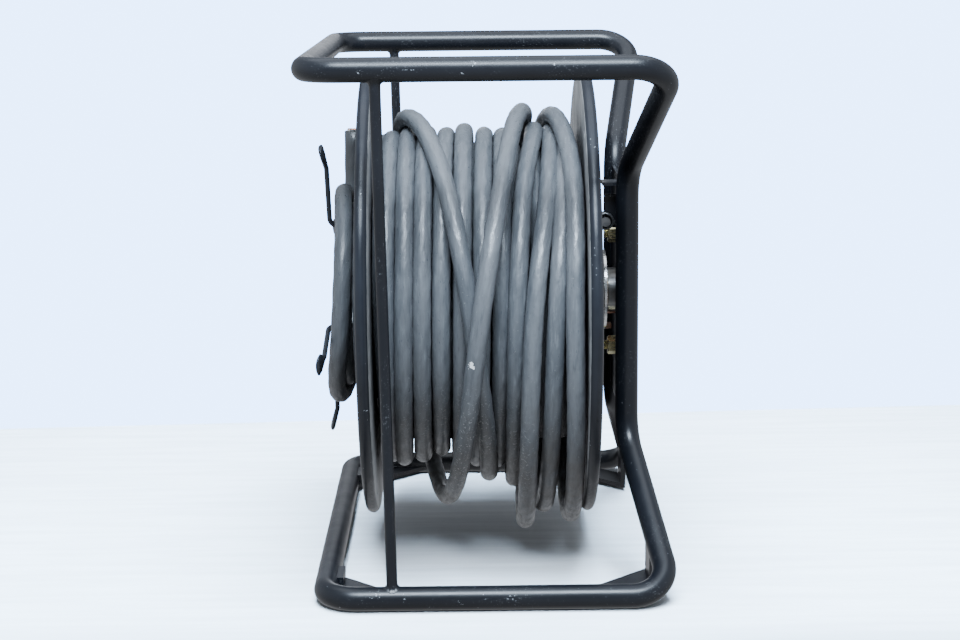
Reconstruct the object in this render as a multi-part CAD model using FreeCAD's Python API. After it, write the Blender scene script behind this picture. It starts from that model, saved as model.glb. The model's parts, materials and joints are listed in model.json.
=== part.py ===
"""Steel cable reel: a bent tube frame that carries a cantilevered drum, wound with a thick
rubber-sheathed cable whose cut lead is stored on four hooks outside the left flange.

Frame of the part: X runs along the axle, +X towards the axle's mounting plate. Y runs along
the carrying handle. +Z is up, and Z = 0 is the surface that the base tubes stand on. Lengths
are millimetres. Around the axle, a place is given as (radius, degrees), counted from +Y
towards +Z.
"""

import FreeCAD, Part
import math
import os

V = FreeCAD.Vector

# ---- driving dimensions -------------------------------------------------------------------
tube_od = 22.2
tube_wall = 1.6
frame_height = 503.2
loop_half_depth = 244.5
top_left_x = -160.0
base_left_x = -151.5
top_corner_x = 166.4
base_corner_x = 167.9
corner_bend = 32.0
upright_x = 137.2
upright_half_gap = 87.3
upright_bend = 45.0
upright_top_z = 382.0
upright_base_z = 124.0

strut_d = 10.2
strut_top_x = -96.0
strut_base_x = -88.6

axle_z = 253.7
axle_d = 25.0
running_gap = 0.05
body_gap = 0.3

sheet = 1.5
left_face_x = -107.6
right_face_x = 94.3
flange_r = 222.5
curl_r = 6.0
core_r = 118.0
core_wall = 2.0
hub_d = 38.0
hub_wall = 3.0

cable_d = 18.0

# ---- places worked out from them ----------------------------------------------------------
tube_r = tube_od / 2
top_z = frame_height - tube_r
base_z = tube_r
joint_z = axle_z
cable_r = cable_d / 2
left_outer_x = left_face_x - sheet
right_outer_x = right_face_x + sheet
axle_centre = V(0, 0, axle_z)


# ---- helpers ------------------------------------------------------------------------------
def around(radius, degrees, x):
    """The point at a radius and an angle about the axle, at x."""
    a = math.radians(degrees)
    return V(x, radius * math.cos(a), axle_z + radius * math.sin(a))


def rod(a, b, radius):
    """A solid cylinder from a to b."""
    return Part.makeCylinder(radius, (b - a).Length, a, b - a)


def ring(x0, x1, outer, inner, centre=axle_centre):
    """A flat ring about a line parallel to the axle, from x0 to x1."""
    base = V(x0, centre.y, centre.z)
    body = Part.makeCylinder(outer, x1 - x0, base, V(1, 0, 0))
    if inner > 0:
        body = body.cut(Part.makeCylinder(inner, x1 - x0 + 2, base - V(1, 0, 0), V(1, 0, 0)))
    return body


def box(low, high):
    """A box between two corners."""
    return Part.makeBox(high.x - low.x, high.y - low.y, high.z - low.z, low)


def hexagon(across_flats, length, base, along):
    """A hexagonal prism that starts at base and runs along a direction."""
    corner = across_flats / math.sqrt(3)
    points = [V(corner * math.cos(math.radians(60 * i)), corner * math.sin(math.radians(60 * i)), 0)
              for i in range(7)]
    prism = Part.Face(Part.makePolygon(points)).extrude(V(0, 0, length))
    prism.Placement = FreeCAD.Placement(base, FreeCAD.Rotation(V(0, 0, 1), along))
    return prism


def rounded_wire(points, radii):
    """Straight runs through the points, joined by tangent arcs of the radii given."""
    edges = []
    start = points[0]
    for before, corner, after, radius in zip(points, points[1:], points[2:], radii):
        u = (before - corner).normalize()
        w = (after - corner).normalize()
        half_turn = (math.pi - u.getAngle(w)) / 2
        reach = radius * math.tan(half_turn)
        inward = (u + w).normalize()
        centre = corner + inward * (radius / math.cos(half_turn))
        first = corner + u * reach
        last = corner + w * reach
        edges.append(Part.LineSegment(start, first).toShape())
        edges.append(Part.Arc(first, centre - inward * radius, last).toShape())
        start = last
    edges.append(Part.LineSegment(start, points[-1]).toShape())
    return Part.Wire(edges)


def swept(wire, radius):
    """A round bar along a wire."""
    first = wire.Edges[0]
    start = wire.Vertexes[0].Point
    along = first.tangentAt(first.FirstParameter)
    profile = Part.Wire([Part.makeCircle(radius, start, along)])
    return wire.makePipeShell([profile], True, False)


def cord_radii(points):
    """The largest arc that each corner's two runs allow."""
    radii = []
    for before, corner, after in zip(points, points[1:], points[2:]):
        u = before - corner
        w = after - corner
        half_turn = (math.pi - u.getAngle(w)) / 2
        radii.append(0.45 * min(u.Length, w.Length) / math.tan(half_turn))
    return radii


def cord_tube(name, points):
    """A cable's solid along its route, with its arcs' radii and its volume printed."""
    radii = cord_radii(points)
    wire = rounded_wire(points, radii)
    body = swept(wire, cable_r)
    expected = math.pi * cable_r ** 2 * wire.Length
    print(name, "radii", [round(r) for r in radii], "length", round(wire.Length),
          "volume ratio", round(body.Volume / expected, 4))
    return body


def mirrored(shape):
    """The same shape on the other side of the part's middle plane Y = 0."""
    return shape.mirror(V(0, 0, 0), V(0, 1, 0))


def group(shapes):
    """Separate solids that share one node."""
    return Part.makeCompound(shapes)


# ---- the frame ----------------------------------------------------------------------------
def frame_route(left_x, right_x, level_z, bend_z):
    """One half of the frame: upright, diagonal, long tube, cross tube and back again."""
    near = [V(upright_x, -upright_half_gap, joint_z),
            V(upright_x, -upright_half_gap, bend_z),
            V(right_x, -loop_half_depth, level_z),
            V(left_x, -loop_half_depth, level_z)]
    far = [V(p.x, -p.y, p.z) for p in reversed(near)]
    radii = [upright_bend, corner_bend, corner_bend, corner_bend, corner_bend, upright_bend]
    return rounded_wire(near + far, radii)


upper_wire = frame_route(top_left_x, top_corner_x, top_z, upright_top_z)
lower_wire = frame_route(base_left_x, base_corner_x, base_z, upright_base_z)
upper_bar = swept(upper_wire, tube_r)
lower_bar = swept(lower_wire, tube_r)


def upper_frame_tube():
    return upper_bar.cut(swept(upper_wire, tube_r - tube_wall))


def lower_frame_tube():
    return lower_bar.cut(swept(lower_wire, tube_r - tube_wall))


def joint_spigots():
    """Short inner tubes that line up the two halves of each upright where they are welded."""
    half_length = 30.0
    outer = tube_r - tube_wall
    spigots = []
    for side in (-1, 1):
        foot = V(upright_x, side * upright_half_gap, joint_z - half_length)
        top = V(upright_x, side * upright_half_gap, joint_z + half_length)
        spigots.append(rod(foot, top, outer).cut(rod(foot, top, outer - tube_wall)))
    return group(spigots)


def strut(side):
    """A round bar that ties the top long tube to the base long tube beside the left flange."""
    y = side * loop_half_depth
    bar = rod(V(strut_base_x, y, base_z), V(strut_top_x, y, top_z), strut_d / 2)
    return bar.cut(upper_bar).cut(lower_bar)


brace_thick = 4.5
brace_low_z = 3.5
brace_high_z = brace_low_z + brace_thick


def prism_on(points, z0, z1):
    """A flat outline stood up between two heights."""
    outline = [V(x, y, z0) for x, y in points]
    return Part.Face(Part.makePolygon(outline + outline[:1])).extrude(V(0, 0, z1 - z0))


def solid_holding(shape, point):
    """The one solid of a cut shape that lies nearest to a point."""
    return min(shape.Solids, key=lambda s: s.CenterOfMass.distanceToPoint(point))


def left_brace():
    """A flat bar across the base's left corner, with a short tab up the cross tube."""
    inner_y = -165.0
    inner_x = -72.0
    width_on_tube = 44.0
    tab_top_z = 17.5
    tube_y = -loop_half_depth
    cross_x = base_left_x + tube_r
    strip = prism_on([(base_left_x, inner_y + 11), (base_left_x, inner_y - width_on_tube),
                      (inner_x - width_on_tube, tube_y), (inner_x + 11, tube_y)],
                     brace_low_z, brace_high_z)
    tab = prism_on([(base_left_x, inner_y), (cross_x + brace_thick, inner_y),
                    (cross_x + brace_thick, inner_y - width_on_tube + 8),
                    (base_left_x, inner_y - width_on_tube + 8)], brace_high_z, tab_top_z)
    brace = strip.fuse(tab).removeSplitter().cut(lower_bar)
    return solid_holding(brace, V(-115, -200, brace_low_z))


def right_brace():
    """A flat bar at 45 degrees from the long tube, its end bent up to meet the diagonal tube."""
    tab_x = 150.3
    inner_sum = 350.0
    outer_sum = 304.0
    end_x = tab_x + brace_thick
    strip = prism_on([(end_x, end_x - inner_sum), (inner_sum - loop_half_depth, -loop_half_depth),
                      (outer_sum - loop_half_depth, -loop_half_depth), (end_x, end_x - outer_sum)],
                     brace_low_z, brace_high_z)
    tab = prism_on([(tab_x, tab_x - inner_sum), (end_x, end_x - inner_sum),
                    (end_x, end_x - outer_sum), (tab_x, tab_x - outer_sum)],
                   brace_low_z, upright_base_z)
    brace = strip.fuse(tab).removeSplitter().cut(lower_bar)
    return solid_holding(brace, V(130, -180, brace_low_z))


# ---- the axle's mounting ------------------------------------------------------------------
plate_thick = 3.2
plate_x = 134.0
plate_outer_x = plate_x + plate_thick
plate_half_height = 117.0
plate_lip_x = 114.5
plate_lip_length = 26.0
bolt_d = 10.0
bolt_hole_d = 11.0
bolt_offset_z = 57.4
lever_y = -48.0
lever_slot_half = 9.0
pivot_x = 118.0
pivot_z = 331.5


def bolt_places(x):
    return [V(x, 0, axle_z - bolt_offset_z), V(x, 0, axle_z + bolt_offset_z)]


def back_plate():
    """A plate between the uprights, its top edge bent over towards the drum beside one of them."""
    reach = upright_half_gap
    low = axle_z - plate_half_height
    high = axle_z + plate_half_height
    plate = box(V(plate_x, -reach, low), V(plate_outer_x, reach, high))
    lip_y = tube_r + 4 - reach
    lip = box(V(plate_lip_x, lip_y, high - plate_thick), V(plate_x + 1, lip_y + plate_lip_length, high))
    plate = plate.fuse(lip).removeSplitter()
    plate = plate.cut(upper_bar).cut(lower_bar)
    plate = plate.cut(ring(plate_x - 1, plate_outer_x + 1, axle_d / 2 + 0.1, 0))
    for place in bolt_places(plate_x - 1):
        plate = plate.cut(Part.makeCylinder(bolt_hole_d / 2, plate_thick + 2, place, V(1, 0, 0)))
    slot = box(V(plate_x - 1, lever_y - lever_slot_half, pivot_z - 14),
               V(plate_outer_x + 1, lever_y + lever_slot_half, pivot_z + 8))
    return solid_holding(plate.cut(slot), V(plate_x, 0, axle_z))


collar_x = 124.1
collar_d = 44.0
axle_left_x = -124.0
flange_plate_thick = 6.0


def axle():
    """The fixed shaft, with the collar that bears on the plate and its bolted flange."""
    outer_x = plate_outer_x + flange_plate_thick
    shaft = ring(axle_left_x, outer_x, axle_d / 2, 0)
    collar = ring(collar_x, plate_x, collar_d / 2, 0)
    pad = box(V(plate_outer_x, -28, axle_z - 75), V(outer_x, 28, axle_z + 75))
    for place in bolt_places(plate_outer_x - 1):
        pad = pad.cut(Part.makeCylinder(bolt_hole_d / 2, 10, place, V(1, 0, 0)))
    pin_hole = rod(V(pin_x, 0, axle_z - 20), V(pin_x, 0, axle_z + 20), pin_d / 2 + 0.2)
    return shaft.fuse([collar, pad]).removeSplitter().cut(pin_hole)


nut_flats = 17.0
nut_thick = 8.0
washer_thick = 1.6
bolt_tip_x = 120.8


def axle_bolts():
    head_thick = 6.4
    start_x = plate_outer_x + flange_plate_thick
    bolts = []
    for place in bolt_places(0):
        shank = rod(V(bolt_tip_x, place.y, place.z), V(start_x, place.y, place.z), bolt_d / 2)
        head = hexagon(nut_flats, head_thick, V(start_x, place.y, place.z), V(1, 0, 0))
        bolts.append(shank.fuse(head).removeSplitter())
    return group(bolts)


def axle_washers():
    start_x = plate_x - washer_thick
    return group([Part.makeCylinder(10, washer_thick, place, V(1, 0, 0)).cut(
        Part.makeCylinder(bolt_d / 2, washer_thick, place, V(1, 0, 0)))
        for place in bolt_places(start_x)])


def axle_nuts():
    start_x = plate_x - washer_thick - nut_thick
    chamfer = 1.4
    nuts = []
    for place in bolt_places(start_x):
        nut = hexagon(nut_flats, nut_thick, place, V(1, 0, 0))
        dome_r = nut_flats / math.sqrt(3) + 0.05
        dome = Part.makeCone(dome_r - chamfer, dome_r, chamfer, place, V(1, 0, 0)).fuse(
            Part.makeCylinder(dome_r, nut_thick, place + V(chamfer, 0, 0), V(1, 0, 0)))
        nut = nut.common(dome)
        nuts.append(nut.cut(Part.makeCylinder(bolt_d / 2, nut_thick, place, V(1, 0, 0))))
    return group(nuts)


pin_d = 4.0
pin_x = -119.0
end_washer_thick = 2.5


def retaining_washer():
    start = hub_left_x - bush_lip - body_gap - end_washer_thick
    return ring(start, start + end_washer_thick, 21.0, axle_d / 2 + 0.2)


def split_pin():
    """A split pin through the axle's end, its legs bent apart."""
    head = Part.makeTorus(3.4, 1.3, V(pin_x, 0, axle_z + 18), V(1, 0, 0))
    shank = rod(V(pin_x, 0, axle_z - 15), V(pin_x, 0, axle_z + 16), pin_d / 2)
    legs = [rod(V(pin_x, 0, axle_z - 14), V(pin_x, side * 8, axle_z - 20), 1.2)
            for side in (-1, 1)]
    return shank.fuse([head] + legs)


# ---- the brake ----------------------------------------------------------------------------
pivot_d = 6.0
pivot_line = [V(pivot_x, -66, pivot_z), V(pivot_x, -35.5, pivot_z)]
ear_thick = 2.0
lever_half = 5.0


def brake_bracket():
    """Two ears on a foot welded to the plate's inner face; they hold the pivot pin."""
    foot = box(V(plate_x - ear_thick, lever_y - 8, pivot_z + 9),
               V(plate_x, lever_y + 8, pivot_z + 24))
    bracket = foot
    for inner_y in (lever_y - 8, lever_y + 8 - ear_thick):
        ear = box(V(pivot_x, inner_y, pivot_z - 7),
                  V(plate_x, inner_y + ear_thick, pivot_z + 24))
        tip = Part.makeCylinder(7, ear_thick, V(pivot_x, inner_y, pivot_z), V(0, 1, 0))
        bracket = bracket.fuse(ear.fuse(tip))
    return bracket.removeSplitter().cut(rod(*pivot_line, pivot_d / 2))


def brake_pin():
    head = rod(V(pivot_x, -68, pivot_z), V(pivot_x, -66, pivot_z), 4.6)
    tail = rod(V(pivot_x, -37.6, pivot_z), V(pivot_x, -36, pivot_z), 4.2)
    return rod(V(pivot_x, -66, pivot_z), V(pivot_x, -36, pivot_z), pivot_d / 2).fuse([head, tail])


pad_arm_z = pivot_z - 37.0
pad_x0 = 99.4
pad_thick = 5.5


def brake_lever():
    """A lever on the pivot: one arm carries the pad, the other is the thumb tab."""
    y0 = lever_y - lever_half
    y1 = lever_y + lever_half
    eye = Part.makeCylinder(6.5, 2 * lever_half, V(pivot_x, y0, pivot_z), V(0, 1, 0))
    arm_x = pad_x0 + pad_thick
    outline = [V(pivot_x - 6, y0, pivot_z), V(pivot_x - 1, y0, pivot_z - 6),
               V(arm_x + 4, y0, pad_arm_z - 9), V(arm_x, y0, pad_arm_z - 9),
               V(arm_x, y0, pad_arm_z + 9)]
    arm = Part.Face(Part.makePolygon(outline + outline[:1])).extrude(V(0, 2 * lever_half, 0))
    tab = box(V(pivot_x, y0, pivot_z - 2), V(146.5, y1, pivot_z + 2))
    lever = eye.fuse([arm, tab]).removeSplitter()
    bore_r = pivot_d / 2 + running_gap
    return lever.cut(Part.makeCylinder(bore_r, 20, V(pivot_x, y0 - 5, pivot_z), V(0, 1, 0)))


def brake_pad():
    """The rubber block that rubs on the right flange."""
    return box(V(pad_x0, lever_y - 9, pad_arm_z - 9),
               V(pad_x0 + pad_thick, lever_y + 9, pad_arm_z + 9))


def brake_spring():
    """A torsion spring on the pivot pin: three close turns, and a leg that rests on the plate."""
    wire_r = 1.1
    leg_r = 0.9
    coil_r = 7.6
    first_y = -58.0
    pitch = 2.3
    turns = 3
    leg_angle = math.radians(-50)
    coils = [Part.makeTorus(coil_r, wire_r, V(pivot_x, first_y - pitch * i, pivot_z), V(0, 1, 0))
             for i in range(turns)]
    bridge = rod(V(pivot_x, first_y, pivot_z + coil_r),
                 V(pivot_x, first_y - pitch * (turns - 1), pivot_z + coil_r), leg_r)
    leg_start = V(pivot_x + coil_r * math.cos(leg_angle), first_y, pivot_z + coil_r * math.sin(leg_angle))
    leg = rod(leg_start, V(plate_x - wire_r, first_y, pivot_z - 12), leg_r)
    return coils[0].fuse(coils[1:] + [bridge, leg])


# ---- the earth contact --------------------------------------------------------------------
disc_x = 119.3
disc_outer_x = 121.8
strip_half = 4.0
strip_thick = 1.5
strip_x = disc_outer_x + body_gap
strip_top_z = axle_z - 22.7


def earth_strip():
    """A copper strip from the plate that turns down beside the contact disc."""
    top = box(V(strip_x, -strip_half, strip_top_z - strip_thick),
              V(plate_x, strip_half, strip_top_z))
    leg = box(V(strip_x, -strip_half, strip_top_z - 12),
              V(strip_x + strip_thick, strip_half, strip_top_z))
    foot = box(V(plate_x - strip_thick, -strip_half, strip_top_z),
               V(plate_x, strip_half, strip_top_z + 0.2))
    return top.fuse([leg, foot]).removeSplitter()


def earth_block():
    """The brass terminal block at the strip's lower end."""
    z0 = strip_top_z - 17
    return box(V(strip_x, -5, z0), V(strip_x + 6, 5, strip_top_z - 12))


# ---- the drum -----------------------------------------------------------------------------
tie_circle_r = 42.0
tie_angles = (45.0, 135.0, 225.0, 315.0)
tie_d = 8.0
tie_nut_flats = 13.0
tie_nut_thick = 6.5
hub_left_x = -112.0
bush_length = 30.0
bush_lip = 2.0
disc_r = 40.0
slot_circle_r = 80.0
slot_half = 11.0
slot_middle = -28.0
slot_half_angle = 30.0
trim_wall = 1.2
core_opening_x = -88.0
core_opening_middle = -161.0
core_opening_half_angle = 34.0
rim_slot_r = 206.0
rim_slot_d = 4.0
rim_slot_half_angle = 1.1
rim_slot_first = 65.0
rim_slot_count = 6


def sector(x0, x1, middle, half_angle, reach):
    """A wedge about the axle, to keep or cut part of a ring."""
    step = half_angle / 4
    angles = [middle - half_angle + step * i for i in range(9)]
    outline = [V(x0, 0, axle_z)] + [around(reach, a, x0) for a in angles] + [V(x0, 0, axle_z)]
    return Part.Face(Part.makePolygon(outline)).extrude(V(x1 - x0, 0, 0))


def arc_slot(radius, half, middle, half_angle, x0, x1):
    """A slot that follows a circle about the axle, with round ends."""
    band = ring(x0, x1, radius + half, radius - half)
    slot = band.common(sector(x0, x1, middle, half_angle, 2 * radius))
    for end in (middle - half_angle, middle + half_angle):
        slot = slot.fuse(Part.makeCylinder(half, x1 - x0, around(radius, end, x0), V(1, 0, 0)))
    return slot.removeSplitter()


def flange(face_x, out):
    """A pressed disc: a stiffening bead, a rolled rim on its outer side, and its holes."""
    curl_centre_r = flange_r - curl_r
    outer_x = face_x + out * sheet
    low_x = min(face_x, outer_x)
    bead_r = 178.0
    bead_tube_r = 7.0
    bead_sunk = 3.5
    disc = ring(low_x, low_x + sheet, curl_centre_r, hub_d / 2)
    curl_place = (V(face_x + out * curl_r, 0, axle_z), V(1, 0, 0))
    curl = Part.makeTorus(curl_centre_r, curl_r, *curl_place).cut(
        Part.makeTorus(curl_centre_r, curl_r - sheet, *curl_place))
    bead = Part.makeTorus(bead_r, bead_tube_r, V(face_x - out * bead_sunk, 0, axle_z), V(1, 0, 0))
    far_x = outer_x + out * 2 * bead_tube_r
    bead = bead.common(ring(min(outer_x, far_x), max(outer_x, far_x), flange_r, core_r))
    body = disc.fuse([curl, bead])
    start_x = low_x - 10
    for degrees in tie_angles:
        hole = Part.makeCylinder(tie_d / 2 + 0.25, 20, around(tie_circle_r, degrees, start_x), V(1, 0, 0))
        body = body.cut(hole)
    for i in range(rim_slot_count):
        middle = rim_slot_first + i * 360 / rim_slot_count
        body = body.cut(arc_slot(rim_slot_r, rim_slot_d / 2, middle, rim_slot_half_angle,
                                 low_x - 1, low_x + sheet + 1))
    return body


def left_flange():
    slot = arc_slot(slot_circle_r, slot_half, slot_middle, slot_half_angle,
                    left_outer_x - 1, left_face_x + 1)
    return flange(left_face_x, -1).cut(slot).removeSplitter()


def right_flange():
    return flange(right_face_x, 1).removeSplitter()


def drum_core():
    """The tube that the cable winds on, with the opening where the cable comes in."""
    core = ring(left_face_x, right_face_x, core_r, core_r - core_wall)
    opening = ring(left_face_x - 1, core_opening_x, core_r + 1, core_r - core_wall - 1).common(
        sector(left_face_x - 1, core_opening_x, core_opening_middle, core_opening_half_angle, 2 * core_r))
    return core.cut(opening)


def hub_tube():
    return ring(hub_left_x, disc_outer_x, hub_d / 2, hub_d / 2 - hub_wall)


def bush(end_x, out):
    """A flanged plain bearing pressed into one end of the hub tube."""
    seat_r = hub_d / 2 - hub_wall
    bore_r = axle_d / 2 + running_gap
    inner_x = end_x - out * bush_length
    lip_x = end_x + out * bush_lip
    body = ring(min(inner_x, end_x), max(inner_x, end_x), seat_r, bore_r)
    lip = ring(min(end_x, lip_x), max(end_x, lip_x), hub_d / 2 - 0.5, bore_r)
    return body.fuse(lip).removeSplitter()


def contact_disc():
    """The zinc disc on the hub tube's right end, which the earth strip runs beside."""
    return ring(disc_x, disc_outer_x, disc_r, hub_d / 2)


def tie_rods():
    """Four threaded rods that pull the flanges against the core."""
    reach = 9.0
    return group([rod(around(tie_circle_r, a, left_outer_x - reach),
                      around(tie_circle_r, a, right_outer_x + reach), tie_d / 2) for a in tie_angles])


def tie_nuts():
    nuts = []
    for degrees in tie_angles:
        for x in (left_outer_x - tie_nut_thick, right_outer_x):
            place = around(tie_circle_r, degrees, x)
            nut = hexagon(tie_nut_flats, tie_nut_thick, place, V(1, 0, 0))
            nuts.append(nut.cut(Part.makeCylinder(tie_d / 2, tie_nut_thick, place, V(1, 0, 0))))
    return group(nuts)


def slot_trim():
    """The rubber edging in the flange's slot, which keeps the sheet off the cable."""
    outer = arc_slot(slot_circle_r, slot_half, slot_middle, slot_half_angle,
                     left_outer_x - 1.2, left_face_x + 1.2)
    inner = arc_slot(slot_circle_r, slot_half - trim_wall, slot_middle, slot_half_angle,
                     left_outer_x - 2, left_face_x + 2)
    return outer.cut(inner)


# ---- the hooks ----------------------------------------------------------------------------
hook_d = 5.0
hook_angle = 17.0
hook_count = 4
hook_foot_r = 73.3
hook_arm_x = -153.2
hook_neck_x = -154.0
hook_tip_x = -161.0
hook_tip_r = 159.4
hook_bend = 9.0
paddle_length = 24.0
paddle_width = 20.0
paddle_thick = 3.4


def hook():
    """A bent rod welded to the left flange, its tip flattened and flared outwards."""
    rod_r = hook_d / 2
    foot = around(hook_foot_r, hook_angle, left_outer_x)
    elbow = around(hook_foot_r, hook_angle, hook_arm_x)
    neck = around(hook_tip_r - paddle_length, hook_angle, hook_neck_x)
    bar = swept(rounded_wire([foot, elbow, neck], [hook_bend]), rod_r)
    tip = around(hook_tip_r, hook_angle, hook_tip_x)
    along = (tip - neck).normalize()
    tangent = V(1, 0, 0).cross(neck - elbow).normalize()
    normal = along.cross(tangent).normalize()
    half = paddle_width / 2
    # Each pair is a distance along the paddle and its half width there.
    shape = [(-2.0, 0.8 * rod_r), (4.0, 0.7 * half), (9.0, half), (paddle_length - half, half),
             (paddle_length - 2.0, 0.75 * half), (paddle_length, 0.35 * half)]
    outline = [neck + along * d + tangent * w for d, w in shape]
    outline += [neck + along * d - tangent * w for d, w in reversed(shape)]
    outline = [p - normal * (paddle_thick / 2) for p in outline]
    paddle = Part.Face(Part.makePolygon(outline + outline[:1])).extrude(normal * paddle_thick)
    return bar.fuse([Part.makeSphere(rod_r, neck), paddle])


# ---- the cable ----------------------------------------------------------------------------
even_r = 172.0
even_drop = 6.0
slack_r = 211.5
slack_drop = 31.0
slack_x0 = -75.0
slack_x1 = 93.5
lead_x0 = -148.0
lead_x1 = -110.6
lead_outer_r = 111.0
lead_inner_r = 76.2
lead_drop = 1.8

# Each route is a list of (radius, degrees, x) about the axle.
core_route = [(80.0, -28.0, -108.35), (80.3, -46.0, -102.5), (82.0, -64.0, -98.9),
              (86.0, -83.0, -98.4), (91.5, -101.0, -98.3), (98.5, -118.0, -98.5),
              (106.5, -134.0, -98.3), (114.0, -149.0, -98.5), (120.5, -163.0, -98.3),
              (125.0, -177.0, -98.5), (127.0, -191.0, -98.3)]
lead_route = [(80.0, -28.0, -108.35), (82.0, -10.0, -114.3), (85.2, 8.0, -117.8),
              (86.8, 26.0, -118.8), (86.5, 43.0, -119.0)]
tail_route = [(102.0, 0.0, -138.5), (108.6, 21.6, -137.2), (126.5, 39.2, -136.0),
              (151.0, 51.2, -135.4), (179.5, 58.9, -134.6)]


def wound_cable():
    """The outer shape of the winding: its even turns, and the slack loops that hang lower."""
    even = ring(left_face_x + body_gap, right_face_x - body_gap, even_r, 0,
                V(0, 0, axle_z - even_drop))
    slack = ring(slack_x0, slack_x1, slack_r, 0, V(0, 0, axle_z - slack_drop))
    bore = ring(left_face_x, right_face_x, core_r + body_gap, 0)
    return even.fuse(slack).removeSplitter().cut(bore)


def lead_coil():
    """The outer shape of the lead's turns on the hooks."""
    outer = ring(lead_x0, lead_x1, lead_outer_r, 0, V(0, 0, axle_z - lead_drop))
    return outer.cut(ring(lead_x0 - 1, lead_x1 + 1, lead_inner_r, 0))


def cable_run(name, route):
    return cord_tube(name, [around(*place) for place in route])


# ---- all the nodes ------------------------------------------------------------------------
near_left_brace = left_brace()
near_right_brace = right_brace()
first_hook = hook()
nodes = {
    "upper_frame_tube": upper_frame_tube(),
    "lower_frame_tube": lower_frame_tube(),
    "joint_spigots": joint_spigots(),
    "near_strut": strut(-1),
    "far_strut": strut(1),
    "near_left_brace": near_left_brace,
    "far_left_brace": mirrored(near_left_brace),
    "near_right_brace": near_right_brace,
    "far_right_brace": mirrored(near_right_brace),
    "back_plate": back_plate(),
    "axle": axle(),
    "axle_bolts": axle_bolts(),
    "axle_washers": axle_washers(),
    "axle_nuts": axle_nuts(),
    "retaining_washer": retaining_washer(),
    "split_pin": split_pin(),
    "brake_bracket": brake_bracket(),
    "brake_pin": brake_pin(),
    "brake_lever": brake_lever(),
    "brake_pad": brake_pad(),
    "brake_spring": brake_spring(),
    "earth_strip": earth_strip(),
    "earth_block": earth_block(),
    "left_flange": left_flange(),
    "right_flange": right_flange(),
    "drum_core": drum_core(),
    "hub_tube": hub_tube(),
    "left_bush": bush(hub_left_x, -1),
    "right_bush": bush(disc_outer_x, 1),
    "contact_disc": contact_disc(),
    "tie_rods": tie_rods(),
    "tie_nuts": tie_nuts(),
    "slot_trim": slot_trim(),
    "wound_cable": wound_cable(),
    "cable_inner_run": cable_run("cable_inner_run", core_route),
    "lead_entry": cable_run("lead_entry", lead_route),
    "lead_coil": lead_coil(),
    "lead_tail": cable_run("lead_tail", tail_route),
}
for number in range(hook_count):
    turned = first_hook.copy()
    turned.rotate(axle_centre, V(1, 0, 0), number * 360 / hook_count)
    nodes[f"cable_hook_{number + 1}"] = turned

os.makedirs("parts", exist_ok=True)
whole = FreeCAD.BoundBox()
for name, shape in nodes.items():
    shape.exportStep(os.path.join("parts", name + ".step"))
    whole.add(shape.BoundBox)
    if not shape.isValid():
        print("not valid:", name)
print(len(nodes), "nodes; X", round(whole.XMin, 1), round(whole.XMax, 1), "Y", round(whole.YMin, 1),
      round(whole.YMax, 1), "Z", round(whole.ZMin, 1), round(whole.ZMax, 1))
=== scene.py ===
"""Looks of the steel cable reel: the wound cable, the stored lead, welds, threads and finishes
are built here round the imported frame. Lengths are metres. Around the axle, a place is given as
(radius, degrees), counted from +Y towards +Z, as in the part's source.
"""

import bpy
import math
from mathutils import Matrix, Vector
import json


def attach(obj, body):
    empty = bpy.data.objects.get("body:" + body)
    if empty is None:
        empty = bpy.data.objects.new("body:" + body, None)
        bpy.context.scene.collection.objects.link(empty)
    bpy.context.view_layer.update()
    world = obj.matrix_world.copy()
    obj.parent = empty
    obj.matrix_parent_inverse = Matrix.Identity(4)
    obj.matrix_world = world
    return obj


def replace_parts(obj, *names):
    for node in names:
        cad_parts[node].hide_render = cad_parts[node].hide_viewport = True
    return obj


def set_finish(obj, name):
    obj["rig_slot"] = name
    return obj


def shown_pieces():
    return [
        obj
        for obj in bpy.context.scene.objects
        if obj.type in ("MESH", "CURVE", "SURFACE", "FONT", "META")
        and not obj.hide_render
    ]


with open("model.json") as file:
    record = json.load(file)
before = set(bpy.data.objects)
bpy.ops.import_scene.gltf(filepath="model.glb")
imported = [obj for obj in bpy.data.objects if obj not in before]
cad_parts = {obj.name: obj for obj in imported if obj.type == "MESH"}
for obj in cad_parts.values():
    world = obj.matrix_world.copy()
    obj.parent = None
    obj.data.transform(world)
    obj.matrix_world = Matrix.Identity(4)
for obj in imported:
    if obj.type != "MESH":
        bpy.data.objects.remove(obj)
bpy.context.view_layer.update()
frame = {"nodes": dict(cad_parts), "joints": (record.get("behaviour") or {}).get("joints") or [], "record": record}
nodes = frame["nodes"]

# ---- sizes that the looks share with the design -------------------------------------------
MM = 0.001
AXLE_Z = next(j for j in frame["joints"] if j["name"] == "drum_spin")["pos_m"][2]
CABLE_R = 9 * MM
TUBE_R = 11.1 * MM
LOOP_Y = 244.5 * MM
BASE_Z = TUBE_R
TOP_Z = 492.1 * MM
STRUT_R = 5.1 * MM
STRUT_TOP_X = -96 * MM
STRUT_BASE_X = -88.6 * MM
LEFT_OUTER_X = -109.1 * MM


def around(radius, degrees, x):
    """The point at a radius and an angle about the axle, at x."""
    a = math.radians(degrees)
    return Vector((x, radius * math.cos(a), AXLE_Z + radius * math.sin(a)))


# ---- camera -------------------------------------------------------------------------------
CAMERA_PLACE = (-0.01468, -2.00955, 0.60426)
CAMERA_YAW, CAMERA_PITCH, CAMERA_ROLL = 0.0049, 0.1874, -0.0100
CAMERA_LENS_MM = 75.62


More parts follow.
